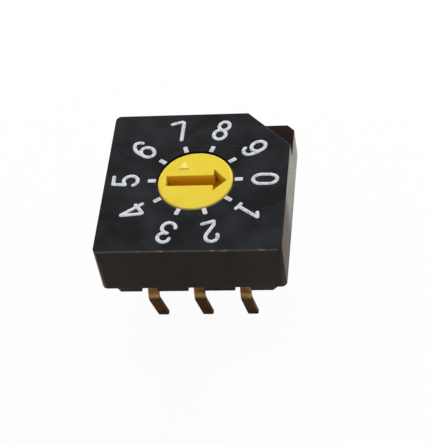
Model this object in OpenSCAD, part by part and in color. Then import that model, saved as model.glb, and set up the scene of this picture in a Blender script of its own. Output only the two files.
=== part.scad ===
// Ten-position rotary coded switch with six kinked leads, in millimetres.
// Origin: centre of the base's underside, on the rotor's axis. +Z is up,
// and the arrow points along +X, at position 0. The front is at -Y.

/* [Cover] */
// Width and depth of the square body
body_w = 10; // [9.6:0.1:11]
// Height of the top face above the circuit board
body_h = 3.8; // [3.7:0.1:5]
// Radius of the four upright corners
corner_r = 0.32; // [0.1:0.05:0.5]
// Side wall of the cover round the base
side_wall = 0.55; // [0.4:0.05:0.7]
// Thickness of the roof where the rotor's head passes
roof = 0.55; // [0.4:0.05:0.7]
// Distance from the centre to where the corner notch starts, along the back
notch_start = 2.5; // [2:0.05:3]
// Depth of the corner notch from the back face, along the right side
notch_cut = 2.5; // [1.5:0.05:3]
// Height of the corner notch, from the top face down
notch_h = 1.05; // [0.5:0.05:2]
// Small chamfer on the upright edge outside the notch
notch_bevel = 0.4; // [0.34:0.02:0.6]

/* [Base] */
// Height of the cover's rim above the circuit board
rim_z = 0.75; // [0.6:0.05:0.9]
// Distance that the base is set back under the rim
set_back = 0.4; // [0.2:0.05:0.5]
// Cut across each corner of the base
base_bevel = 0.45; // [0.2:0.05:0.8]
// Height of the base's plug inside the cover
plug_h = 0.55; // [0.45:0.05:0.6]
// Corner of the plug that is cut off, so that it fits the cover one way
key_cut = 0.8; // [0.4:0.1:1.2]
// Thickness of the floor under the contact springs
floor_t = 0.85; // [0.8:0.05:0.9]
// Half width of the well that the contact springs lie in
well_half = 3.45; // [3.3:0.05:3.5]
// Radius of the well's corners
well_corner = 0.5; // [0.2:0.1:0.8]
// Radius of the pivot post
post_r = 0.58; // [0.4:0.02:0.6]
// Height of the pivot post above the floor
post_h = 1.45; // [1:0.05:1.5]
// Depth of the two cored pockets in the underside
core_depth = 0.3; // [0.1:0.05:0.4]
// Width of each cored pocket
core_w = 2.2; // [1:0.1:2.4]
// Length of each cored pocket, front to back
core_l = 4.8; // [3:0.1:6]
// Width of the web between the cored pockets
web_w = 2.4; // [1:0.1:2.6]

/* [Leads] */
// Distance between neighbouring leads
lead_pitch = 2.54; // [2.4:0.01:2.6]
// Distance between the two rows of leads
row_spacing = 7.62; // [7.5:0.01:7.8]
// Width of a lead
lead_w = 0.6; // [0.4:0.02:0.64]
// Thickness of the lead strip
lead_t = 0.26; // [0.2:0.01:0.3]
// Extra width of the base's slots at each side of a lead
slot_gap = 0.14; // [0.1:0.01:0.3]
// Slope of the slots' sides, as the width that each side loses up to the rim
slot_flare = 0.1; // [0.02:0.01:0.1]
// Straight length of a lead below the circuit board's top
straight_l = 0.45; // [0.2:0.05:0.8]
// Distance that the elbow stands out from the row
elbow_out = 0.36; // [0.1:0.02:0.5]
// Depth of the elbow below the board's top
elbow_z = 1.1; // [0.9:0.01:1.6]
// Distance that the tip leans in from the row
tip_in = 0.84; // [0.2:0.02:1]
// Depth of the tips below the board's top
tip_z = 3.85; // [3:0.05:4.5]
// Length over which a bend in a lead is rounded
bend_l = 0.22; // [0.05:0.01:0.3]
// Chamfer on each side of a tip
tip_bevel = 0.07; // [0.05:0.01:0.15]

/* [Contact springs] */
// Thickness of a spring finger
finger_t = 0.12; // [0.08:0.01:0.14]
// Width of a spring finger at its root
finger_w = 0.5; // [0.3:0.02:0.52]
// Width of a spring finger at its contact knuckle
knuckle_w = 0.28; // [0.2:0.02:0.3]
// Length of the narrow stretch before the knuckle
knuckle_l = 0.2; // [0.1:0.02:0.4]
// Straight length of a finger before its first bend
finger_root = 0.1; // [0.1:0.01:0.15]
// Length over which a finger's bends are rounded
finger_bend = 0.08; // [0.04:0.01:0.09]
// Length of the turned-down end past the knuckle
curl_l = 0.16; // [0.1:0.01:0.18]
// Length of a lead's foot in the base's floor
foot_l = 0.6; // [0.5:0.05:0.7]
// Gap left between a knuckle and the code disc
contact_gap = 0.02; // [0.01:0.01:0.04]

/* [Code disc] */
// Radius of the common track, the innermost one
common_r = 1.05; // [1:0.01:1.1]
// Distance from one track to the next
track_pitch = 0.55; // [0.5:0.01:0.56]
// Width of the windows in a track
window_w = 0.42; // [0.36:0.01:0.46]
// Radius of the hole in the disc
disc_hole_r = 0.8; // [0.75:0.01:0.85]
// Width of the disc's rim outside the last track's windows
disc_rim = 0.1; // [0.06:0.01:0.14]
// Thickness of the disc
disc_t = 0.12; // [0.08:0.01:0.2]

/* [Rotor] */
// Radius of the head that shows in the cover
head_r = 2.06; // [1.9:0.01:2.1]
// Radius of the rounding on the head's edge
head_round = 0.12; // [0.05:0.01:0.2]
// Depth of the head below the cover's top face
head_drop = 0.02; // [0:0.01:0.1]
// Room for the click spring's arms between the flange and the ring
spring_travel = 0.3; // [0.25:0.05:0.35]
// Rim of the flange outside the disc
flange_rim = 0.09; // [0.06:0.01:0.12]
// Radius of the collar that the seal ring sits on
collar_r = 2.45; // [2.3:0.05:2.5]
// Length of the arrow's shaft behind the centre
arrow_tail = 1.6; // [1.2:0.02:1.7]
// Distance from the centre to the arrow's point
arrow_point = 1.71; // [1.4:0.01:1.8]
// Length of the arrowhead
arrow_head_l = 0.73; // [0.5:0.01:0.9]
// Width of the arrowhead
arrow_head_w = 1.54; // [1:0.02:1.6]
// Width of the arrow's shaft
arrow_w = 0.7; // [0.5:0.02:0.8]
// Depth of the arrow, which takes the screwdriver
arrow_depth = 0.85; // [0.5:0.05:0.9]
// Size of the small moulded triangle on the head
mark_w = 0.58; // [0.2:0.02:0.6]
// Distance of the triangle to the left of the centre
mark_x = 0.7; // [0.3:0.05:0.8]
// Distance of the triangle behind the centre
mark_y = 1.03; // [0.8:0.01:1.2]
// Height of the small moulded triangle
mark_h = 0.04; // [0.02:0.01:0.05]

/* [Detent] */
// Depth of the notches in the flange
notch_depth = 0.2; // [0.15:0.01:0.22]
// Width of a notch at the flange's face
notch_w = 0.8; // [0.6:0.02:0.9]
// Gap between the collar and the notches
notch_gap = 0.1; // [0.05:0.05:0.2]
// Thickness of the click spring
spring_t = 0.1; // [0.06:0.01:0.12]
// Width of the spring's outer ring
rail_w = 0.36; // [0.3:0.02:0.4]
// Width of the spring's arms
arm_w = 0.48; // [0.4:0.02:0.5]
// Gap between an arm and the outer ring
arm_gap = 0.1; // [0.06:0.01:0.14]
// Angle from an arm's root to its nose
arm_sweep = 62; // [45:1:75]
// Angle over which an arm's root joins the outer ring
bridge_span = 12; // [8:1:16]
// Length over which the bend at an arm's root is rounded
arm_bend = 0.3; // [0.1:0.05:0.4]
// Length of an arm past its nose
arm_end = 0.22; // [0.1:0.02:0.4]
// Length of the ears that keep the spring from turning
ear_l = 0.45; // [0.3:0.05:0.6]
// Width of the ears
ear_w = 0.7; // [0.5:0.05:1]

/* [Seal ring] */
// Height of the seal ring
seal_h = 0.56; // [0.5:0.01:0.58]

/* [Dial] */
// Length of the position marks
tick_l = 0.46; // [0.3:0.01:0.6]
// Width of the position marks
tick_w = 0.24; // [0.15:0.01:0.3]
// Radius of the marks' outer corners
tick_round = 0.07; // [0.02:0.01:0.09]
// Thickness of the printed ink
ink_t = 0.02; // [0.01:0.01:0.03]

/* [Clearances] */
// Gap between the rotor's head and the cover's bore
head_gap = 0.08; // [0.03:0.01:0.1]
// Running clearance between the post and the rotor
post_gap = 0.03; // [0.02:0.01:0.05]
// Gap between the base's plug and the cover
plug_gap = 0.03; // [0.02:0.01:0.05]
// Height of the gap between the plug and the rotor
rotor_lift = 0.2; // [0.1:0.05:0.3]
// Gap between the rotor's flange and its chamber
chamber_gap = 0.2; // [0.15:0.05:0.3]
// Gap round the code disc and in its windows
disc_gap = 0.02; // [0.01:0.01:0.03]
// Gap between the bore's edge and the printed marks
ink_gap = 0.02; // [0.01:0.01:0.1]
// Gap between the seal ring and its seat
seal_gap = 0.02; // [0.01:0.01:0.04]
// Gap between the rotor's collar and the seal's seat
collar_gap = 0.13; // [0.1:0.01:0.16]
// Gap above the pivot post
post_play = 0.1; // [0.05:0.05:0.15]
// Gap between the click spring's ring and the chamber
rail_gap = 0.1; // [0.05:0.01:0.15]
// Gap between a nose of the spring and its notch
nose_gap = 0.03; // [0.02:0.01:0.04]
// Gap between the spring's arms and the flange beside the notch
nose_lift = 0.04; // [0.02:0.01:0.05]
// Gap round the click spring's ears
ear_gap = 0.03; // [0.02:0.01:0.05]

/* [Hidden] */
$fn = 64;
eps = 0.01;

positions = 10;
step = 360 / positions;
half_w = body_w / 2;
half_base = half_w - set_back;
half_plug = half_w - side_wall - plug_gap;
plug_top = rim_z + plug_h;
row_y = row_spacing / 2;

// Code tracks: weights 8, 4, 2 and 1 from the common track outward
weights = [8, 4, 2, 1];
function track_r(i) = common_r + (i + 1) * track_pitch;
disc_r = track_r(len(weights) - 1) + window_w / 2 + disc_rim;
disc_z = plug_top + rotor_lift;

// Where each finger touches the disc, as an angle round the rotor's axis
contact_8 = 140;
contact_4 = 35;
contact_2 = -25;
contact_1 = -158;
contacts = [contact_8, contact_4, contact_2, contact_1];

head_top = body_h - head_drop;
bore_r = head_r + head_gap;
seal_r = collar_r + collar_gap;
roof_z = body_h - roof;
chamber_top = roof_z - seal_h - 2 * seal_gap;
spring_z = chamber_top - spring_t;
flange_r = disc_r + disc_gap + flange_rim;
flange_top = spring_z - spring_travel;
chamber_r = flange_r + chamber_gap;
rail_r = chamber_r - rail_gap;
arm_r = rail_r - rail_w - arm_gap;
ears = [135, 315];
noses = [0, 180];

black = [0.16, 0.165, 0.18];
ink = [0.88, 0.9, 0.94];
yellow = [0.93, 0.8, 0.2];
bronze = [0.52, 0.38, 0.24];
gold = [0.8, 0.65, 0.3];
steel = [0.66, 0.67, 0.68];
silicone = [0.45, 0.2, 0.14];

// ---- shared shapes ----

function unit(v) = v / norm(v);
function left(v) = [-v.y, v.x];

// Offset direction at point i of a path, mitred so that the width stays even
function mitre(p, i) =
    i == 0 ? left(unit(p[1] - p[0])) :
    i == len(p) - 1 ? left(unit(p[i] - p[i - 1])) :
    let (a = left(unit(p[i] - p[i - 1])), b = left(unit(p[i + 1] - p[i]))) (a + b) / (1 + a * b);

// Outline of a strip of thickness t along a path
function strip(p, t) = concat(
    [for (i = [0 : len(p) - 1]) p[i] + mitre(p, i) * t / 2],
    [for (i = [len(p) - 1 : -1 : 0]) p[i] - mitre(p, i) * t / 2]);

// The corner b between a and c, rounded over the length l on each side
function bend(a, b, c, l) =
    let (p = b + unit(a - b) * l, q = b + unit(c - b) * l)
    [for (k = [0 : 5]) let (t = k / 5) (1 - t) * (1 - t) * p + 2 * t * (1 - t) * b + t * t * q];

module rounded_square(half, r) {
    square([2 * (half - r), 2 * half], center = true);
    square([2 * half, 2 * (half - r)], center = true);
    for (x = [-1, 1], y = [-1, 1]) translate([x, y] * (half - r)) circle(r);
}

module ring_sector(r, w, h, start, angle) {
    rotate(start) rotate_extrude(angle = angle) translate([r - w / 2, 0]) square([w, h]);
}

// Square with one corner cut off, at +X +Y
module keyed_square(half, cut) {
    polygon([[-half, -half], [half, -half], [half, half - cut], [half - cut, half], [-half, half]]);
}

// ---- cover ----

// Corner beyond a slanting line from the back face to the right side
module corner_beyond(along_back, along_side) {
    out = half_w + 1;
    polygon([[half_w - along_back, half_w], [half_w, half_w - along_side], [out, half_w - along_side],
             [out, out], [half_w - along_back, out]]);
}

module ear_slots() {
    slot_w = ear_w + 2 * ear_gap;
    for (a = ears) rotate(a)
        translate([0, -slot_w / 2, plug_top])
            cube([rail_r + ear_l + ear_gap, slot_w, chamber_top - plug_top]);
}

module cover() {
    color(black) difference() {
        translate([0, 0, rim_z]) linear_extrude(body_h - rim_z) rounded_square(half_w, corner_r);
        translate([0, 0, body_h - notch_h]) linear_extrude(notch_h + eps)
            corner_beyond(half_w - notch_start, notch_cut);
        linear_extrude(body_h) corner_beyond(notch_bevel, notch_bevel);
        translate([0, 0, rim_z - eps])
            linear_extrude(plug_h + plug_gap + eps) keyed_square(half_plug + plug_gap, key_cut);
        translate([0, 0, rim_z]) cylinder(r = chamber_r, h = chamber_top - rim_z);
        translate([0, 0, rim_z]) cylinder(r = seal_r, h = roof_z - rim_z);
        cylinder(r = bore_r, h = body_h + eps);
        ear_slots();
    }
}

// Ten printed marks round the bore, the first at position 0
module dial_marks() {
    outer = bore_r + tick_l;
    side = tick_w / 2 - tick_round;
    color(ink) translate([0, 0, body_h]) linear_extrude(ink_t) difference() {
        for (k = [0 : positions - 1]) rotate(-k * step) {
            translate([0, -tick_w / 2]) square([outer - tick_round, tick_w]);
            translate([0, -side]) square([outer, 2 * side]);
            for (y = [-side, side]) translate([outer - tick_round, y]) circle(tick_round);
        }
        circle(bore_r + ink_gap);
    }
}

// ---- base ----

// Open slots in the base's edge, one in front of each lead, wider at the board
module lead_slot() {
    inner = row_y - lead_t / 2;
    mouth = lead_w / 2 + slot_gap;
    translate([0, half_w, 0]) rotate([90, 0, 0]) linear_extrude(half_w - inner)
        polygon([[-mouth, -eps], [mouth, -eps], [mouth - slot_flare, rim_z], [slot_flare - mouth, rim_z]]);
}

// Channel that a lead's foot and the top of its leg are moulded into
module foot_channel() {
    translate([-lead_w / 2, row_y - lead_t / 2, 0]) cube([lead_w, lead_t, floor_t + lead_t]);
    translate([-lead_w / 2, row_y - foot_l, floor_t]) cube([lead_w, foot_l + lead_t / 2, lead_t]);
}

module base() {
    color(black) {
        difference() {
            union() {
                linear_extrude(rim_z) intersection() {
                    square(2 * half_base, center = true);
                    rotate(45) square(sqrt(2) * (2 * half_base - base_bevel), center = true);
                }
                translate([0, 0, rim_z - eps])
                    linear_extrude(plug_h + eps) keyed_square(half_plug, key_cut);
            }
            translate([0, 0, floor_t]) linear_extrude(plug_top) rounded_square(well_half, well_corner);
            for (x = [-1, 0, 1], back = [0, 1]) translate([x * lead_pitch, 0, 0]) mirror([0, back, 0]) {
                lead_slot();
                foot_channel();
            }
            for (side = [0, 1]) mirror([side, 0, 0])
                translate([web_w / 2, -core_l / 2, -eps]) cube([core_w, core_l, core_depth + eps]);
        }
        translate([0, 0, floor_t - eps]) cylinder(r = post_r, h = post_h + eps);
    }
}

// ---- terminals ----

// Side view of a lead, with X as the distance out from the rotor's axis
function lead_path() =
    let (top = [row_y, floor_t + lead_t / 2],
         start = [row_y, -straight_l],
         elbow = [row_y + elbow_out, -elbow_z],
         tip = [row_y - tip_in, -tip_z - lead_t])
    concat([top], bend(top, start, elbow, bend_l), bend(start, elbow, tip, bend_l), [tip]);

module lead() {
    difference() {
        rotate([90, 0, 90]) linear_extrude(lead_w, center = true) difference() {
            polygon(strip(lead_path(), lead_t));
            translate([0, -tip_z - body_h]) square([body_w, body_h]);
        }
        for (side = [-1, 1])
            translate([side * lead_w / 2, 0, -tip_z]) rotate([0, 45, 0])
                cube([sqrt(2) * tip_bevel, body_w, sqrt(2) * tip_bevel], center = true);
    }
    // Foot that lies in its channel in the base
    translate([-lead_w / 2, row_y - foot_l, floor_t]) cube([lead_w, foot_l + lead_t / 2, lead_t]);
}

// Spring finger from the foot to a point of contact, reach away
module finger(reach) {
    low = floor_t + lead_t - finger_t / 2;
    high = disc_z - contact_gap - finger_t / 2;
    a = [0, low];
    b = [finger_root, low];
    c = [reach, high];
    d = [reach + curl_l, high - curl_l / 2];
    side_view = concat([a], bend(a, b, c, finger_bend), bend(b, c, d, finger_bend), [d]);
    narrow = reach - knuckle_l;
    intersection() {
        rotate([90, 0, 0]) linear_extrude(finger_w, center = true) polygon(strip(side_view, finger_t));
        linear_extrude(body_h) polygon([
            [-finger_w, -finger_w / 2], [0, -finger_w / 2], [narrow, -knuckle_w / 2],
            [reach + finger_w, -knuckle_w / 2], [reach + finger_w, knuckle_w / 2], [narrow, knuckle_w / 2],
            [0, finger_w / 2], [-finger_w, finger_w / 2]]);
    }
}

// side is 1 for the back row and -1 for the front; place counts along the row
module terminal(place, side, r, angle) {
    root = [place * lead_pitch, side * (row_y - foot_l + finger_t)];
    touch = r * [cos(angle), sin(angle)];
    way = touch - root;
    color(bronze) {
        translate([place * lead_pitch, 0, 0]) mirror([0, side < 0 ? 1 : 0, 0]) lead();
        translate(root) rotate(atan2(way.y, way.x)) finger(norm(way));
    }
}

module terminal_1() { terminal(-1, -1, track_r(3), contact_1); }
module terminal_2() { terminal(1, -1, track_r(2), contact_2); }
module terminal_4() { terminal(1, 1, track_r(1), contact_4); }
module terminal_8() { terminal(-1, 1, track_r(0), contact_8); }
module common_front() { terminal(0, -1, common_r, -90); }
module common_back() { terminal(0, 1, common_r, 90); }

// ---- code disc ----

// Whether a weight is switched on at position p
function closed(weight, p) = floor(((p + positions) % positions) / weight) % 2 == 1;

// Number of positions in a row, from p on, at which a weight is off
function open_run(weight, p) = closed(weight, p) ? 0 : 1 + open_run(weight, p + 1);

// The windows of every track: one for each run of positions that are off
module windows(w, h, gap) {
    for (i = [0 : len(weights) - 1], p = [0 : positions - 1])
        if (!closed(weights[i], p) && closed(weights[i], p - 1)) {
            trim = gap / track_r(i) * 180 / PI;
            ring_sector(track_r(i), w, h, contacts[i] + (p - 0.5) * step + trim,
                        open_run(weights[i], p) * step - 2 * trim);
        }
}

module code_disc() {
    color(gold) translate([0, 0, disc_z]) difference() {
        cylinder(r = disc_r, h = disc_t);
        translate([0, 0, -eps]) cylinder(r = disc_hole_r, h = disc_t + 2 * eps);
        translate([0, 0, -eps]) windows(window_w, disc_t + 2 * eps, 0);
    }
}

// ---- rotor ----

module arrow() {
    neck = arrow_point - arrow_head_l;
    translate([-arrow_tail, -arrow_w / 2]) square([arrow_tail + neck, arrow_w]);
    polygon([[neck, -arrow_head_w / 2], [arrow_point, 0], [neck, arrow_head_w / 2]]);
}

// Half section of the rotor without its pockets
module rotor_section() {
    translate([0, disc_z]) square([flange_r, flange_top - disc_z]);
    translate([0, disc_z]) square([collar_r, chamber_top - disc_z]);
    translate([0, disc_z]) square([head_r, head_top - head_round - disc_z]);
    square_top = head_top - disc_z;
    translate([0, disc_z]) square([head_r - head_round, square_top]);
    translate([head_r - head_round, head_top - head_round]) circle(head_round);
}

module detent_notches() {
    for (k = [0 : positions - 1]) rotate(k * step)
        translate([collar_r + notch_gap, 0, flange_top]) rotate([90, 0, 90]) linear_extrude(flange_r)
            polygon([[-notch_w / 2, 0], [0, -notch_depth], [notch_w / 2, 0],
                     [notch_w / 2, 1], [-notch_w / 2, 1]]);
}

module rotor() {
    color(yellow) {
        difference() {
            rotate_extrude() rotor_section();
            detent_notches();
            translate([0, 0, head_top - arrow_depth]) linear_extrude(arrow_depth + eps) arrow();
            translate([0, 0, floor_t]) cylinder(r = post_r + post_gap, h = post_h + post_play);
            // Seat of the code disc
            translate([0, 0, disc_z - eps]) difference() {
                cylinder(r = disc_r + disc_gap, h = disc_t + eps);
                cylinder(r = disc_hole_r - disc_gap, h = disc_t + eps);
            }
        }
        // Plastic that fills the disc's windows
        translate([0, 0, disc_z]) windows(window_w - 2 * disc_gap, disc_t + eps, disc_gap);
        translate([-mark_x, mark_y, head_top - eps]) rotate(90) linear_extrude(mark_h + eps)
            circle(mark_w / 2, $fn = 3);
    }
}

// ---- seal ring ----

module seal_ring() {
    width = seal_r - seal_gap - head_r;
    color(silicone) translate([0, 0, roof_z - seal_gap - seal_h / 2]) rotate_extrude()
        translate([head_r + width / 2, 0]) intersection() {
            square([width, seal_h], center = true);
            circle(seal_h / 2);
        }
}

// ---- click spring ----

module band(inner, outer) {
    difference() {
        circle(outer);
        circle(inner);
    }
}

module wedge(start, end) {
    reach = 2 * body_w;
    polygon([[0, 0], for (a = [start, (start + end) / 2, end]) reach * [cos(a), sin(a)]]);
}

// Flat ring with the two ears that lie in the cover's slots
module spring_ring() {
    linear_extrude(spring_t) difference() {
        union() {
            circle(rail_r);
            for (a = ears) rotate(a) translate([0, -ear_w / 2]) square([rail_r + ear_l, ear_w]);
        }
        circle(rail_r - rail_w);
    }
}

// Side view of an arm, with X as the distance along it and its nose at 0
function arm_path() =
    let (rest = flange_top + nose_lift + spring_t / 2,
         low = flange_top - notch_depth + nose_gap + spring_t / 2,
         flat = spring_z + spring_t / 2,
         half = notch_w / 2 - nose_gap,
         root = (arm_r - arm_w) * sin(arm_sweep))
    concat([[-half - arm_end, rest], [-half, rest], [0, low], [half, rest]],
           bend([half, rest], [root, flat], [rail_r, flat], arm_bend), [[rail_r, flat]]);

// Arm cut from the band inside the ring, and bent down to its nose
module spring_arm() {
    intersection() {
        linear_extrude(body_h) {
            intersection() {
                band(arm_r - arm_w, arm_r);
                wedge(-45, arm_sweep + bridge_span);
            }
            intersection() {
                band(arm_r - arm_w, rail_r - rail_w / 2);
                wedge(arm_sweep, arm_sweep + bridge_span);
            }
        }
        rotate([90, 0, 90]) linear_extrude(rail_r) polygon(strip(arm_path(), spring_t));
    }
}

module click_spring() {
    color(steel) {
        translate([0, 0, spring_z]) spring_ring();
        for (a = noses) rotate(a) spring_arm();
    }
}

cover();
dial_marks();
base();
terminal_1();
terminal_2();
terminal_4();
terminal_8();
common_front();
common_back();
click_spring();
seal_ring();
rotor();
code_disc();
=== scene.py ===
import math
import bmesh
import bpy
from mathutils import Matrix, Vector


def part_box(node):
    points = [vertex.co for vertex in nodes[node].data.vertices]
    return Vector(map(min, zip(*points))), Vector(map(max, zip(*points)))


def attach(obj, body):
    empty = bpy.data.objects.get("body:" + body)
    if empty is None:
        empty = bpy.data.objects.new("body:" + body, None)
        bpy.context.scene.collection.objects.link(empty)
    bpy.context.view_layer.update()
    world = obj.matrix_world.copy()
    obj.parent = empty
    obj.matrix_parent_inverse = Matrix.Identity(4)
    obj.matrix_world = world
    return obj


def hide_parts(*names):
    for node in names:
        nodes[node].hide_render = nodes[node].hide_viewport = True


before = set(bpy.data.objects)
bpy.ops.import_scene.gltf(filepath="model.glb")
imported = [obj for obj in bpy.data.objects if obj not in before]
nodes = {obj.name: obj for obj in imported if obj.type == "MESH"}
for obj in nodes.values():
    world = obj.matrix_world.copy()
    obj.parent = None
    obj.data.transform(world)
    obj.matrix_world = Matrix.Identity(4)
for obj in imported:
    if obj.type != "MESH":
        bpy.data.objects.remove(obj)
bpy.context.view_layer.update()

mm = 0.001
print("frame loaded:", len(nodes), "nodes")


def toLinear(hexColour):
    parts = [int(hexColour[i:i + 2], 16) / 255 for i in (1, 3, 5)]
    return [c / 12.92 if c <= 0.04045 else ((c + 0.055) / 1.055) ** 2.4 for c in parts] + [1.0]


# Inputs are values or sockets, and stops are (place, hex colour or grey level)
def addNode(tree, kind, inputs=None, stops=None, **settings):
    node = tree.nodes.new(kind)
    for key, value in settings.items():
        setattr(node, key, value)
    for key, value in (inputs or {}).items():
        if isinstance(value, bpy.types.NodeSocket):
            tree.links.new(value, node.inputs[key])
        else:
            node.inputs[key].default_value = value
    while stops and len(node.color_ramp.elements) < len(stops):
        node.color_ramp.elements.new(0.5)
    for i, (place, colour) in enumerate(stops or []):
        stop = node.color_ramp.elements[i]
        stop.position = place
        stop.color = toLinear(colour) if isinstance(colour, str) else [colour] * 3 + [1.0]
    return node


def newMaterial(name):
    material = bpy.data.materials.new(name)
    material.use_nodes = True
    tree = material.node_tree
    return material, tree, tree.nodes["Principled BSDF"]


cameraView = {
    "place": (14.608, -57.198, 66.005),     # mm
    "aim": (1.237, -2.730, 3.471),          # mm
    "roll": -11.375,                        # degrees
    "lens": 129.08, "sensor": 36,           # mm
    "clip": (0.001, 10),                    # m
}


def setCamera(view):
    data = bpy.data.cameras.new("camera")
    data.lens = view["lens"]
    data.sensor_width = view["sensor"]
    data.clip_start, data.clip_end = view["clip"]
    camera = bpy.data.objects.new("camera", data)
    bpy.context.scene.collection.objects.link(camera)
    place = Vector(view["place"]) * mm
    look = (Vector(view["aim"]) * mm - place).to_track_quat("-Z", "Y").to_matrix()
    rolled = look @ Matrix.Rotation(math.radians(view["roll"]), 3, "Z")
    camera.matrix_world = Matrix.Translation(place) @ rolled.to_4x4()
    bpy.context.scene.camera = camera


setCamera(cameraView)
print("camera set")


studio = {
    "floorSize": 1.5,                       # m
    "paper": ("#efefec", "#f4f4f2"),
    "fibre": 1.2,                           # mm
    # How far the paper reads as plain white where it is seen, and where it is mirrored
    "looked": 0.95, "mirrored": 0.1,
    "sky": 0.36,
    "lamps": {
        # place in mm, width in mm, watts, whether gloss shows it
        "windowLamp": ((-40, 225, 55), 130, 0.36, False),
        "sideLamp": ((110, 190, 120), 110, 0.33, False),
        "ceilingLamp": ((-60, 40, 250), 100, 0.17, True),
    },
}


def setStudio(values):
    floorMesh = bpy.data.meshes.new("studioFloor")
    bm = bmesh.new()
    bmesh.ops.create_grid(bm, x_segments=1, y_segments=1, size=values["floorSize"] / 2)
    bmesh.ops.translate(bm, verts=bm.verts, vec=(0, 0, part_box("terminal_1")[0][2]))
    bm.to_mesh(floorMesh)
    bm.free()
    floor = bpy.data.objects.new("studioFloor", floorMesh)
    bpy.context.scene.collection.objects.link(floor)

    # Matt studio paper, which reads white where it is seen or mirrored and keeps a faint shadow
    paper, tree, shader = newMaterial("studioPaper")
    coords = addNode(tree, "ShaderNodeTexCoord").outputs["Object"]
    fibre = addNode(tree, "ShaderNodeTexNoise", {"Vector": coords, "Scale": 1 / (values["fibre"] * mm)})
    tone = addNode(tree, "ShaderNodeValToRGB", {"Fac": fibre.outputs["Fac"]},
                   stops=[(0.3, values["paper"][0]), (0.7, values["paper"][1])])
    tree.links.new(tone.outputs["Color"], shader.inputs["Base Color"])
    shader.inputs["Roughness"].default_value = 0.9
    shader.inputs["Specular IOR Level"].default_value = 0.1
    ray = addNode(tree, "ShaderNodeLightPath").outputs
    seen = addNode(tree, "ShaderNodeMath", {0: ray["Is Camera Ray"], 1: ray["Is Transmission Ray"]},
                   operation="MAXIMUM")
    looked = addNode(tree, "ShaderNodeMath", {0: seen.outputs[0], 1: values["looked"]},
                     operation="MULTIPLY")
    mirrored = addNode(tree, "ShaderNodeMath", {0: ray["Is Glossy Ray"], 1: values["mirrored"]},
                       operation="MULTIPLY")
    share = addNode(tree, "ShaderNodeMath", {0: looked.outputs[0], 1: mirrored.outputs[0]},
                    operation="MAXIMUM")
    white = addNode(tree, "ShaderNodeEmission", {"Color": toLinear("#ffffff"), "Strength": 1.0})
    mixed = addNode(tree, "ShaderNodeMixShader", {0: share.outputs[0], 1: shader.outputs[0],
                                                  2: white.outputs[0]})
    tree.links.new(mixed.outputs[0], tree.nodes["Material Output"].inputs["Surface"])
    floor.data.materials.append(paper)

    sky = bpy.data.worlds.new("studioSky")
    sky.use_nodes = True
    tree = sky.node_tree
    ray = addNode(tree, "ShaderNodeLightPath").outputs
    level = addNode(tree, "ShaderNodeMapRange", {"Value": ray["Is Camera Ray"], "To Min": values["sky"],
                                                 "To Max": 1.0})
    tree.nodes["Background"].inputs["Color"].default_value = toLinear("#ffffff")
    tree.links.new(level.outputs["Result"], tree.nodes["Background"].inputs["Strength"])
    bpy.context.scene.world = sky

    # Seen mirrored from a low angle, the two lamps behind would turn the top and the rotor white
    for name, (place, width, watts, inGloss) in values["lamps"].items():
        data = bpy.data.lights.new(name, "AREA")
        data.shape = "DISK"
        data.size = width * mm
        data.energy = watts
        lamp = bpy.data.objects.new(name, data)
        lamp.visible_glossy = inGloss
        bpy.context.scene.collection.objects.link(lamp)
        place = Vector(place) * mm
        facing = (-place).to_track_quat("-Z", "Y").to_matrix().to_4x4()
        lamp.matrix_world = Matrix.Translation(place) @ facing


setStudio(studio)
bpy.context.scene.view_settings.view_transform = "Standard"
print("studio set")


meshCare = {
    "weld": 0.0005, "empty": 0.00001,       # mm, points that merge and bevel faces that go
    "flat": 0.5, "crease": 35,              # degrees, where faces join and where the shading breaks
}


def finishPiece(name, bm, material, body):
    mesh = bpy.data.meshes.new(name)
    bm.to_mesh(mesh)
    bm.free()
    mesh.shade_smooth()
    mesh.set_sharp_from_angle(angle=math.radians(meshCare["crease"]))
    mesh.materials.append(material)
    piece = bpy.data.objects.new(name, mesh)
    bpy.context.scene.collection.objects.link(piece)
    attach(piece, body)
    return piece


# A solid's own form, with its sharp edges rounded the way the mould or the press leaves them
def easeEdges(node, name, material, body, values):
    bm = bmesh.new()
    bm.from_mesh(nodes[node].data)
    bmesh.ops.remove_doubles(bm, verts=bm.verts, dist=meshCare["weld"] * mm)
    bmesh.ops.dissolve_limit(bm, angle_limit=math.radians(meshCare["flat"]), verts=bm.verts, edges=bm.edges)
    sharp = []
    for e in bm.edges:
        middle = (e.verts[0].co + e.verts[1].co) / 2 / mm
        eased = values["from"] < middle.z < values["to"] and middle.xy.length < values["reach"]
        if eased and len(e.link_faces) == 2 and e.calc_face_angle() > math.radians(values["sharperThan"]):
            sharp.append(e)
    bmesh.ops.bevel(bm, geom=sharp, offset=values["radius"] * mm, offset_type="OFFSET",
                    segments=values["steps"], profile=0.5, affect="EDGES", clamp_overlap=True, material=-1)
    bmesh.ops.dissolve_degenerate(bm, dist=meshCare["empty"] * mm, edges=bm.edges)
    piece = finishPiece(name, bm, material, body)
    piece.modifiers.new("evenShading", "WEIGHTED_NORMAL").keep_sharp = True
    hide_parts(node)


coverShell = {
    "radius": 0.05, "steps": 3, "sharperThan": 35, "from": 0.6, "to": 4.0,                  # mm and degrees
    "reach": 9.0,
    # The side colours are a painted reflection, browner than the top
    "topTone": ("#18191c", "#28292d"), "sideReflectionTone": ("#1b130f", "#271a15"),
    # The rim colour is a painted highlight along the front top edge; the nick colour is wear
    "scratch": "#3a3b40", "rim": "#4f4b48", "nick": "#8c867d",
    "specular": 0.14, "film": "#b3a596", "filmWeight": 0.6,
    "filmSpread": 0.3, "roughness": (0.25, 0.36),
    # What the right-hand side adds to the roughness at its back and front, and where it turns, in mm
    "sideGloss": (-0.04, 0.26), "dullAlong": (-0.6, -2.2),
    "halfWidth": 5.0, "top": 3.8, "rimWide": 0.06, "smudge": 1.6, "hair": 1.5,              # mm
    "nickSize": 0.4, "grain": 0.1, "grainDepth": 0.01, "slant": -12,                        # mm and degrees
}
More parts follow.
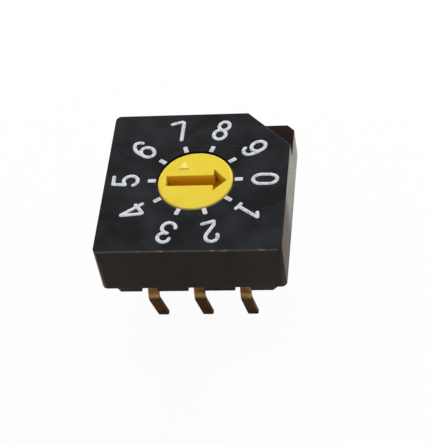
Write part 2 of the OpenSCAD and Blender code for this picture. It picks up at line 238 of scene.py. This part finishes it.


# Glass-filled PBT, injection moulded against a spark-eroded tool: dull black skin with a fine even grain.
# The printed top looks bluish, with smudges and hairlines, and the whole skin has a brownish sheen. Painted
# reflection: the sides are painted browner than the top. The front rim has a painted grey highlight and
# nicks
def blackCoverPbt(values):
    material, tree, shader = newMaterial("mouldedBlackCoverPbt")
    coords = addNode(tree, "ShaderNodeTexCoord").outputs["Object"]
    place = addNode(tree, "ShaderNodeSeparateXYZ", {"Vector": coords}).outputs
    smudge = addNode(tree, "ShaderNodeTexNoise", {"Vector": coords, "Scale": 1 / (values["smudge"] * mm),
                                                  "Detail": 4.0})
    topTone = addNode(tree, "ShaderNodeValToRGB", {"Fac": smudge.outputs["Fac"]},
                      stops=[(0.35, values["topTone"][0]), (0.65, values["topTone"][1])])
    # Painted reflection: the sides are painted browner than the top
    sideReflectionTone = addNode(tree, "ShaderNodeValToRGB", {"Fac": smudge.outputs["Fac"]},
                       stops=[(0.35, values["sideReflectionTone"][0]), (0.65, values["sideReflectionTone"][1])])
    onTop = addNode(tree, "ShaderNodeMapRange", {"Value": place["Z"],
                                                 "From Min": (values["top"] - 0.03) * mm,
                                                 "From Max": (values["top"] - 0.005) * mm})

    # Hairlines 0.02 to 0.05 mm wide, all slanting one way, drawn a little wider so that they show
    slant = addNode(tree, "ShaderNodeMapping", {"Vector": coords, "Scale": (1, 16, 1),
                                                "Rotation": (0, 0, math.radians(values["slant"]))})
    hair = addNode(tree, "ShaderNodeTexNoise", {"Vector": slant.outputs[0],
                                                "Scale": 1 / (values["hair"] * mm), "Detail": 2.0})
    lines = addNode(tree, "ShaderNodeValToRGB", {"Fac": hair.outputs["Fac"]},
                    stops=[(0.7, 0.0), (0.75, 0.6)])
    scored = addNode(tree, "ShaderNodeMix", {0: lines.outputs["Color"], 6: topTone.outputs["Color"],
                                             7: toLinear(values["scratch"])}, data_type="RGBA")
    skin = addNode(tree, "ShaderNodeMix", {0: onTop.outputs["Result"], 6: sideReflectionTone.outputs["Color"],
                                           7: scored.outputs[2]}, data_type="RGBA")

    # Painted highlight: the front top edge is painted light grey where it would catch the light, with worn
    # nicks about 0.2 mm long
    front = addNode(tree, "ShaderNodeMath", {0: place["Y"],
                                             1: -(values["halfWidth"] - values["rimWide"]) * mm},
                    operation="LESS_THAN")
    high = addNode(tree, "ShaderNodeMath", {0: place["Z"], 1: (values["top"] - values["rimWide"]) * mm},
                   operation="GREATER_THAN")
    rim = addNode(tree, "ShaderNodeMath", {0: front.outputs[0], 1: high.outputs[0]}, operation="MULTIPLY")
    chips = addNode(tree, "ShaderNodeTexNoise", {"Vector": coords, "Scale": 1 / (values["nickSize"] * mm),
                                                 "Detail": 2.0})
    chipped = addNode(tree, "ShaderNodeValToRGB", {"Fac": chips.outputs["Fac"]},
                      stops=[(0.62, 0.0), (0.78, 1.0)])
    highlightBand = addNode(tree, "ShaderNodeMix", {0: chipped.outputs["Color"], 6: toLinear(values["rim"]),
                                             7: toLinear(values["nick"])}, data_type="RGBA")
    colour = addNode(tree, "ShaderNodeMix", {0: rim.outputs[0], 6: skin.outputs[2],
                                             7: highlightBand.outputs[2]}, data_type="RGBA")
    tree.links.new(colour.outputs[2], shader.inputs["Base Color"])

    # The right-hand side is glossier toward the back and duller toward the front
    rough = addNode(tree, "ShaderNodeMapRange", {"Value": smudge.outputs["Fac"], "From Min": 0.3,
                                                 "From Max": 0.7, "To Min": values["roughness"][0],
                                                 "To Max": values["roughness"][1]})
    right = addNode(tree, "ShaderNodeMath", {0: place["X"], 1: (values["halfWidth"] - 0.1) * mm},
                    operation="GREATER_THAN")
    worn = addNode(tree, "ShaderNodeMapRange", {"Value": place["Y"],
                                                "From Min": values["dullAlong"][0] * mm,
                                                "From Max": values["dullAlong"][1] * mm,
                                                "To Min": values["sideGloss"][0],
                                                "To Max": values["sideGloss"][1]})
    finish = addNode(tree, "ShaderNodeMath", {0: right.outputs[0], 1: worn.outputs["Result"],
                                              2: rough.outputs["Result"]}, operation="MULTIPLY_ADD")
    tree.links.new(finish.outputs[0], shader.inputs["Roughness"])
    shader.inputs["IOR"].default_value = 1.5
    shader.inputs["Specular IOR Level"].default_value = values["specular"]
    shader.inputs["Sheen Weight"].default_value = values["filmWeight"]
    shader.inputs["Sheen Roughness"].default_value = values["filmSpread"]
    shader.inputs["Sheen Tint"].default_value = toLinear(values["film"])
    # Grain of the eroded tool, 0.03 mm in truth, drawn coarser so that it shows
    grain = addNode(tree, "ShaderNodeTexNoise", {"Vector": coords, "Scale": 1 / (values["grain"] * mm),
                                                 "Detail": 2.0})
    bump = addNode(tree, "ShaderNodeBump", {"Height": grain.outputs["Fac"], "Strength": 0.25,
                                            "Distance": values["grainDepth"] * mm})
    tree.links.new(bump.outputs["Normal"], shader.inputs["Normal"])
    return material


easeEdges("cover", "coverShell", blackCoverPbt(coverShell), "housing", coverShell)
print("cover moulded")


baseMoulding = {
    "radius": 0.03, "steps": 2, "sharperThan": 35, "from": -0.1, "to": 0.8,                 # mm and degrees
    "reach": 9.0,
    "tone": ("#17110e", "#211813"), "specular": 0.2, "roughness": (0.4, 0.55),
    "flow": 1.2, "grain": 0.1, "grainDepth": 0.01,                                          # mm
}


# The same PBT, not printed or handled: a shade browner, with cloudy flow marks
def blackBasePbt(values):
    material, tree, shader = newMaterial("mouldedBlackBasePbt")
    coords = addNode(tree, "ShaderNodeTexCoord").outputs["Object"]
    flow = addNode(tree, "ShaderNodeTexNoise", {"Vector": coords, "Scale": 1 / (values["flow"] * mm),
                                                "Detail": 3.0})
    tone = addNode(tree, "ShaderNodeValToRGB", {"Fac": flow.outputs["Fac"]},
                   stops=[(0.35, values["tone"][0]), (0.65, values["tone"][1])])
    tree.links.new(tone.outputs["Color"], shader.inputs["Base Color"])
    rough = addNode(tree, "ShaderNodeMapRange", {"Value": flow.outputs["Fac"], "From Min": 0.3,
                                                 "From Max": 0.7, "To Min": values["roughness"][0],
                                                 "To Max": values["roughness"][1]})
    tree.links.new(rough.outputs["Result"], shader.inputs["Roughness"])
    shader.inputs["IOR"].default_value = 1.5
    shader.inputs["Specular IOR Level"].default_value = values["specular"]
    grain = addNode(tree, "ShaderNodeTexNoise", {"Vector": coords, "Scale": 1 / (values["grain"] * mm),
                                                 "Detail": 2.0})
    bump = addNode(tree, "ShaderNodeBump", {"Height": grain.outputs["Fac"], "Strength": 0.25,
                                            "Distance": values["grainDepth"] * mm})
    tree.links.new(bump.outputs["Normal"], shader.inputs["Normal"])
    return material


easeEdges("base", "baseMoulding", blackBasePbt(baseMoulding), "housing", baseMoulding)
print("base moulded")


arrowRotor = {
    "radius": 0.07, "steps": 4, "sharperThan": 35, "from": 3.7, "to": 3.8,                  # mm and degrees
    "reach": 1.8,
    # The rim and triangle colours are painted highlights, paler than the face
    "face": ("#ebd138", "#f1d643"), "rim": "#f5e47a", "triangle": "#f4dd80",
    # The lip and recess colours are painted shade, darker with depth
    "lipShade": "#ecba24", "recessShade": ("#d4a30a", "#dcab10"),
    "specular": 0.35, "roughness": (0.24, 0.6),
    "top": 3.78, "lipDepth": (0.01, 0.2), "recessDepth": 0.5,                               # mm
    "rimFrom": 1.96, "rimWide": 0.05, "cloud": 0.9, "grain": 0.12, "grainDepth": 0.01,      # mm
}


# Yellow PBT from a polished tool: half glossy and even, and light sinks in a little. Painted highlight: the
# thin rim and the raised triangle are painted paler. The arrow was cut in the tool by sparks, so it is
# rougher
# there. Painted shade: below the top the colour is painted orange at the lip and browner farther down
def yellowRotorPbt(values):
    material, tree, shader = newMaterial("mouldedYellowPbt")
    coords = addNode(tree, "ShaderNodeTexCoord").outputs["Object"]
    place = addNode(tree, "ShaderNodeSeparateXYZ", {"Vector": coords}).outputs
    cloud = addNode(tree, "ShaderNodeTexNoise", {"Vector": coords, "Scale": 1 / (values["cloud"] * mm),
                                                 "Detail": 3.0})
    face = addNode(tree, "ShaderNodeValToRGB", {"Fac": cloud.outputs["Fac"]},
                   stops=[(0.3, values["face"][0]), (0.7, values["face"][1])])
    recessShade = addNode(tree, "ShaderNodeValToRGB", {"Fac": cloud.outputs["Fac"]},
                     stops=[(0.3, values["recessShade"][0]), (0.7, values["recessShade"][1])])
    # Painted shade: on the arrow's walls and the rim's side, orange just below the top and browner with
    # depth
    lipShade = addNode(tree, "ShaderNodeMapRange", {"Value": place["Z"],
                                               "From Min": (values["top"] - values["lipDepth"][0]) * mm,
                                               "From Max": (values["top"] - values["lipDepth"][1]) * mm})
    depth = addNode(tree, "ShaderNodeMapRange", {"Value": place["Z"],
                                                 "From Min": (values["top"] - values["lipDepth"][1]) * mm,
                                                 "From Max": (values["top"] - values["recessDepth"]) * mm})
    flat = addNode(tree, "ShaderNodeCombineXYZ", {"X": place["X"], "Y": place["Y"], "Z": 0.0})
    out = addNode(tree, "ShaderNodeVectorMath", {0: flat.outputs[0]}, operation="LENGTH")
    wallShade = addNode(tree, "ShaderNodeMix", {0: depth.outputs["Result"], 6: toLinear(values["lipShade"]),
                                           7: recessShade.outputs["Color"]}, data_type="RGBA")
    # Painted highlight: the thin rim and the raised triangle, its walls too, are painted paler than the face
    edge = addNode(tree, "ShaderNodeMapRange", {"Value": out.outputs["Value"],
                                                "From Min": values["rimFrom"] * mm,
                                                "From Max": (values["rimFrom"] + values["rimWide"]) * mm})
    raised = addNode(tree, "ShaderNodeMapRange", {"Value": place["Z"],
                                                  "From Min": (values["top"] + 0.002) * mm,
                                                  "From Max": (values["top"] + 0.01) * mm})
    skin = addNode(tree, "ShaderNodeMix", {0: edge.outputs["Result"], 6: face.outputs["Color"],
                                           7: toLinear(values["rim"])}, data_type="RGBA")
    skin = addNode(tree, "ShaderNodeMix", {0: raised.outputs["Result"], 6: skin.outputs[2],
                                           7: toLinear(values["triangle"])}, data_type="RGBA")
    colour = addNode(tree, "ShaderNodeMix", {0: lipShade.outputs["Result"], 6: skin.outputs[2],
                                             7: wallShade.outputs[2]}, data_type="RGBA")
    tree.links.new(colour.outputs[2], shader.inputs["Base Color"])
    rough = addNode(tree, "ShaderNodeMapRange", {"Value": lipShade.outputs["Result"],
                                                 "To Min": values["roughness"][0],
                                                 "To Max": values["roughness"][1]})
    tree.links.new(rough.outputs["Result"], shader.inputs["Roughness"])
    shader.inputs["IOR"].default_value = 1.5
    shader.inputs["Specular IOR Level"].default_value = values["specular"]
    shader.inputs["Subsurface Weight"].default_value = 0.1
    shader.inputs["Subsurface Radius"].default_value = (1.0, 0.7, 0.15)
    shader.inputs["Subsurface Scale"].default_value = 0.1 * mm
    grain = addNode(tree, "ShaderNodeTexNoise", {"Vector": coords, "Scale": 1 / (values["grain"] * mm),
                                                 "Detail": 2.0})
    bump = addNode(tree, "ShaderNodeBump", {"Height": grain.outputs["Fac"], "Strength": 0.12,
                                            "Distance": values["grainDepth"] * mm})
    tree.links.new(bump.outputs["Normal"], shader.inputs["Normal"])
    return material


easeEdges("rotor", "arrowRotor", yellowRotorPbt(arrowRotor), "rotor", arrowRotor)
print("rotor moulded")


solderLeads = {
    "radius": 0.03, "steps": 2, "sharperThan": 50, "from": -4.1, "to": 0.74,                # mm and degrees
    "reach": 9.0,
    # The lower colours are painted shade on the leg below the bend
    "upper": ("#64452c", "#9c7648"), "lowerShade": ("#3e2c21", "#604a38"),
    # The bend colour is a painted highlight just above the bend
    "bend": "#c8a062", "edgeTint": "#d8c4b4", "roughness": (0.45, 0.3),
    # In mm: heights at which the painted shade and highlight begin and how they fade, then the sizes of
    # stains and lines
    "turnZ": (-1.0, -1.2), "bendZ": -0.88, "bendFade": (0.14, 0.05),
    "stain": 0.5, "line": 0.08, "lineDepth": 0.004,
}


# Phosphor bronze strip with a thin gold wash: warm and half bright near the body. Painted highlight: a light
# band just above the bend. Painted shade: dark brown from there down to the tip. The press
# leaves fine lines along the strip
def bronzeLeadStrip(values):
    material, tree, shader = newMaterial("washedBronzeStrip")
    coords = addNode(tree, "ShaderNodeTexCoord").outputs["Object"]
    place = addNode(tree, "ShaderNodeSeparateXYZ", {"Vector": coords}).outputs
    stain = addNode(tree, "ShaderNodeTexNoise", {"Vector": coords, "Scale": 1 / (values["stain"] * mm),
                                                 "Detail": 3.0})
    upper = addNode(tree, "ShaderNodeValToRGB", {"Fac": stain.outputs["Fac"]},
                    stops=[(0.35, values["upper"][0]), (0.65, values["upper"][1])])
    lowerShade = addNode(tree, "ShaderNodeValToRGB", {"Fac": stain.outputs["Fac"]},
                    stops=[(0.35, values["lowerShade"][0]), (0.65, values["lowerShade"][1])])
    # Painted shade: darker from the bend down to the tip
    turn = addNode(tree, "ShaderNodeMapRange", {"Value": place["Z"], "From Min": values["turnZ"][0] * mm,
                                                "From Max": values["turnZ"][1] * mm})
    # Painted highlight: a light band just above the bend, patchy with the stains
    off = addNode(tree, "ShaderNodeMath", {0: place["Z"], 1: values["bendZ"] * mm}, operation="SUBTRACT")
    away = addNode(tree, "ShaderNodeMath", {0: off.outputs[0]}, operation="ABSOLUTE")
    highlightBand = addNode(tree, "ShaderNodeMapRange", {"Value": away.outputs[0],
                                                  "From Min": values["bendFade"][0] * mm,
                                                  "From Max": values["bendFade"][1] * mm})
    patchy = addNode(tree, "ShaderNodeMath", {0: highlightBand.outputs["Result"], 1: stain.outputs["Fac"]},
                     operation="MULTIPLY")
    warm = addNode(tree, "ShaderNodeMix", {0: patchy.outputs[0], 6: upper.outputs["Color"],
                                           7: toLinear(values["bend"])}, data_type="RGBA")
    colour = addNode(tree, "ShaderNodeMix", {0: turn.outputs["Result"], 6: warm.outputs[2],
                                             7: lowerShade.outputs["Color"]}, data_type="RGBA")
    tree.links.new(colour.outputs[2], shader.inputs["Base Color"])
    shader.inputs["Metallic"].default_value = 1.0
    shader.inputs["Specular Tint"].default_value = toLinear(values["edgeTint"])
    rough = addNode(tree, "ShaderNodeMapRange", {"Value": stain.outputs["Fac"], "From Min": 0.3,
                                                 "From Max": 0.7, "To Min": values["roughness"][0],
                                                 "To Max": values["roughness"][1]})
    tree.links.new(rough.outputs["Result"], shader.inputs["Roughness"])
    # Lines 0.02 mm apart in truth, drawn four times as coarse
    along = addNode(tree, "ShaderNodeMapping", {"Vector": coords, "Scale": (1, 0.15, 0.15)})
    drawn = addNode(tree, "ShaderNodeTexNoise", {"Vector": along.outputs[0],
                                                 "Scale": 1 / (values["line"] * mm), "Detail": 2.0})
    bump = addNode(tree, "ShaderNodeBump", {"Height": drawn.outputs["Fac"], "Strength": 0.3,
                                            "Distance": values["lineDepth"] * mm})
    tree.links.new(bump.outputs["Normal"], shader.inputs["Normal"])
    return material


leadStrip = bronzeLeadStrip(solderLeads)
for lead in ("terminal_1", "terminal_2", "terminal_4", "terminal_8", "common_front", "common_back"):
    easeEdges(lead, "lead_" + lead, leadStrip, "housing", solderLeads)
print("leads pressed")


dialPrint = {
    "thin": "#adb2ba", "full": "#d6d9de",
    "ring": 3.85, "shift": (0.01, -0.022),  # mm, from the axis to a numeral's middle, and the print's offset
    "pen": 0.205, "ink": 0.02,              # mm, stroke width and thickness
    "patch": 0.25, "patchDepth": 0.01,      # mm
    "step": 36,                             # degrees from numeral to numeral
    "roughness": 0.6,
}


# White two-part pad-printing ink: thin and matt, a touch blue over the black, thinner in patches
def padPrintingInk(values):
    material, tree, shader = newMaterial("whitePadPrintingInk")
    coords = addNode(tree, "ShaderNodeTexCoord").outputs["Object"]
    patch = addNode(tree, "ShaderNodeTexNoise", {"Vector": coords, "Scale": 1 / (values["patch"] * mm),
                                                 "Detail": 3.0})
    tone = addNode(tree, "ShaderNodeValToRGB", {"Fac": patch.outputs["Fac"]},
                   stops=[(0.32, values["thin"]), (0.5, values["full"])])
    tree.links.new(tone.outputs["Color"], shader.inputs["Base Color"])
    shader.inputs["Roughness"].default_value = values["roughness"]
    shader.inputs["IOR"].default_value = 1.48
    bump = addNode(tree, "ShaderNodeBump", {"Height": patch.outputs["Fac"], "Strength": 0.15,
                                            "Distance": values["patchDepth"] * mm})
    tree.links.new(bump.outputs["Normal"], shader.inputs["Normal"])
    return material


def arc(x, y, width, height, start, end, steps=22):
    turns = [math.radians(start + (end - start) * i / steps) for i in range(steps + 1)]
    return [(x + width * math.cos(a), y + height * math.sin(a)) for a in turns]


# Pen strokes of each numeral in mm, upright, about its middle
penStrokes = {
    0: [arc(0, 0.14, 0.335, 0.45, 0, 180) + arc(0, -0.26, 0.335, 0.45, 180, 360) + [(0.335, 0.14)]],
    1: [[(-0.16, 0.41), (0.07, 0.62)], [(0.09, 0.62), (0.08, -0.68)], [(-0.12, -0.7), (0.28, -0.7)]],
    2: [arc(0.04, 0.35, 0.33, 0.32, 190, -20) + [(0.28, 0.1), (-0.2, -0.37), (-0.28, -0.5), (-0.3, -0.66)],
        [(-0.29, -0.67), (0.33, -0.67)]],
    3: [arc(0.0, 0.37, 0.32, 0.31, 185, -75) + [(-0.06, 0.03)], arc(0.0, -0.33, 0.36, 0.36, 80, -165)],
    4: [[(0.285, 0.62), (0.285, -0.7)], [(0.25, 0.62), (-0.26, -0.26), (-0.28, -0.34)],
        [(-0.26, -0.375), (0.44, -0.375)]],
    5: [[(0.37, 0.66), (-0.17, 0.66)], [(-0.17, 0.66), (-0.22, 0.0)],
        arc(0.06, -0.29, 0.36, 0.39, 130, -155)],
    6: [arc(0.14, 0.3, 0.3, 0.42, 20, 90, 5) + arc(0.14, 0.0, 0.42, 0.72, 95, 175, 8)
        + arc(0.07, -0.25, 0.34, 0.41, 170, 540)],
    7: [[(-0.32, 0.73)] + arc(0.22, 0.62, 0.11, 0.11, 90, -18, 6) + [(-0.08, -0.62)]],
    8: [arc(-0.065, 0.37, 0.285, 0.32, -90, 270), arc(-0.067, -0.31, 0.33, 0.35, 90, 450)],
    9: [arc(-0.055, 0.21, 0.335, 0.41, 0, 360),
        arc(-0.06, 0.0, 0.34, 0.68, 20, -90) + arc(-0.09, -0.36, 0.3, 0.32, -95, -165)],
}


# One spline per stroke, whose end points narrow so that the stroke's ends come out round
def strokeMesh(strokes, pen):
    curve = bpy.data.curves.new("penStroke", "CURVE")
    curve.dimensions = "3D"
    curve.twist_mode = "Z_UP"
    curve.bevel_depth = pen / 2
    curve.bevel_resolution = 2
    curve.use_fill_caps = True
    taper = [math.radians(a) for a in (84, 68, 50, 32, 15)]
    for stroke in strokes:
        points = [Vector((x, y, 0)) for x, y in stroke]
        points = points[:1] + [b for a, b in zip(points, points[1:]) if (b - a).length > 0.004]
        first = (points[0] - points[1]).normalized() * pen / 2
        last = (points[-1] - points[-2]).normalized() * pen / 2
        path = [(points[0] + first * math.sin(a), math.cos(a)) for a in taper]
        path += [(p, 1.0) for p in points]
        path += [(points[-1] + last * math.sin(a), math.cos(a)) for a in reversed(taper)]
        spline = curve.splines.new("POLY")
        spline.points.add(len(path) - 1)
        for point, (where, radius) in zip(spline.points, path):
            point.co = (*where, 1.0)
            point.radius = radius
    maker = bpy.data.objects.new("penStroke", curve)
    mesh = bpy.data.meshes.new_from_object(maker)
    bpy.data.objects.remove(maker)
    return mesh


def printNumerals(values):
    bm = bmesh.new()
    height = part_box("cover")[1][2] / mm
    for numeral, strokes in penStrokes.items():
        printed = strokeMesh(strokes, values["pen"])
        # Pressed flat, set out from the axis with its top outwards, and turned to its place on the dial
        printed.transform(Matrix.Scale(values["ink"] / (values["pen"] / 2), 4, (0, 0, 1)))
        printed.transform(Matrix.Translation((values["ring"], 0, 0)) @ Matrix.Rotation(math.radians(-90), 4,
                                                                                       "Z"))
        printed.transform(Matrix.Rotation(math.radians(-values["step"] * numeral), 4, "Z"))
        printed.transform(Matrix.Translation((*values["shift"], height)))
        printed.transform(Matrix.Scale(mm, 4))
        bm.from_mesh(printed)
        bpy.data.meshes.remove(printed)
    bmesh.ops.recalc_face_normals(bm, faces=bm.faces)
    piece = finishPiece("dialNumerals", bm, dialInk, "housing")


dialInk = padPrintingInk(dialPrint)
printNumerals(dialPrint)
print("dial printed")


innerParts = {
    "gold": ("#d9b05a", "#f0cd7a"), "steel": ("#a9aaa8", "#c9c9c6"), "silicone": ("#6a2a1e", "#7c3526"),
    "wear": 0.6, "rolled": 0.06, "rolledDepth": 0.003, "bloom": 0.4,        # mm
}


# Hard gold over nickel on an etched copper disc: bright, even, barely brushed
def goldContactPlate(values):
    material, tree, shader = newMaterial("hardGoldPlate")
    coords = addNode(tree, "ShaderNodeTexCoord").outputs["Object"]
    wear = addNode(tree, "ShaderNodeTexNoise", {"Vector": coords, "Scale": 1 / (values["wear"] * mm),
                                                "Detail": 3.0})
    tone = addNode(tree, "ShaderNodeValToRGB", {"Fac": wear.outputs["Fac"]},
                   stops=[(0.35, values["gold"][0]), (0.65, values["gold"][1])])
    tree.links.new(tone.outputs["Color"], shader.inputs["Base Color"])
    shader.inputs["Metallic"].default_value = 1.0
    rough = addNode(tree, "ShaderNodeMapRange", {"Value": wear.outputs["Fac"], "From Min": 0.3,
                                                 "From Max": 0.7, "To Min": 0.3, "To Max": 0.2})
    tree.links.new(rough.outputs["Result"], shader.inputs["Roughness"])
    return material


# Rolled stainless spring strip: cool grey, with fine lines from the rolls
def springSteelStrip(values):
    material, tree, shader = newMaterial("rolledSpringSteel")
    coords = addNode(tree, "ShaderNodeTexCoord").outputs["Object"]
    along = addNode(tree, "ShaderNodeMapping", {"Vector": coords, "Scale": (0.1, 1, 1)})
    rolled = addNode(tree, "ShaderNodeTexNoise", {"Vector": along.outputs[0],
                                                  "Scale": 1 / (values["rolled"] * mm), "Detail": 2.0})
    tone = addNode(tree, "ShaderNodeValToRGB", {"Fac": rolled.outputs["Fac"]},
                   stops=[(0.35, values["steel"][0]), (0.65, values["steel"][1])])
    tree.links.new(tone.outputs["Color"], shader.inputs["Base Color"])
    shader.inputs["Metallic"].default_value = 1.0
    rough = addNode(tree, "ShaderNodeMapRange", {"Value": rolled.outputs["Fac"], "To Min": 0.2,
                                                 "To Max": 0.4})
    tree.links.new(rough.outputs["Result"], shader.inputs["Roughness"])
    bump = addNode(tree, "ShaderNodeBump", {"Height": rolled.outputs["Fac"], "Strength": 0.3,
                                            "Distance": values["rolledDepth"] * mm})
    tree.links.new(bump.outputs["Normal"], shader.inputs["Normal"])
    return material


# Compression-moulded silicone rubber: soft, matt and brown red, with a dusty bloom
def siliconeSealRubber(values):
    material, tree, shader = newMaterial("mouldedSiliconeRubber")
    coords = addNode(tree, "ShaderNodeTexCoord").outputs["Object"]
    bloom = addNode(tree, "ShaderNodeTexNoise", {"Vector": coords, "Scale": 1 / (values["bloom"] * mm),
                                                 "Detail": 3.0})
    tone = addNode(tree, "ShaderNodeValToRGB", {"Fac": bloom.outputs["Fac"]},
                   stops=[(0.3, values["silicone"][0]), (0.7, values["silicone"][1])])
    tree.links.new(tone.outputs["Color"], shader.inputs["Base Color"])
    rough = addNode(tree, "ShaderNodeMapRange", {"Value": bloom.outputs["Fac"], "To Min": 0.6,
                                                 "To Max": 0.8})
    tree.links.new(rough.outputs["Result"], shader.inputs["Roughness"])
    shader.inputs["IOR"].default_value = 1.41
    return material


for node, finish in (("dial_marks", dialInk),
                     ("code_disc", goldContactPlate(innerParts)),
                     ("click_spring", springSteelStrip(innerParts)),
                     ("seal_ring", siliconeSealRubber(innerParts))):
    nodes[node].data.materials.clear()
    nodes[node].data.materials.append(finish)
print("inner parts finished")
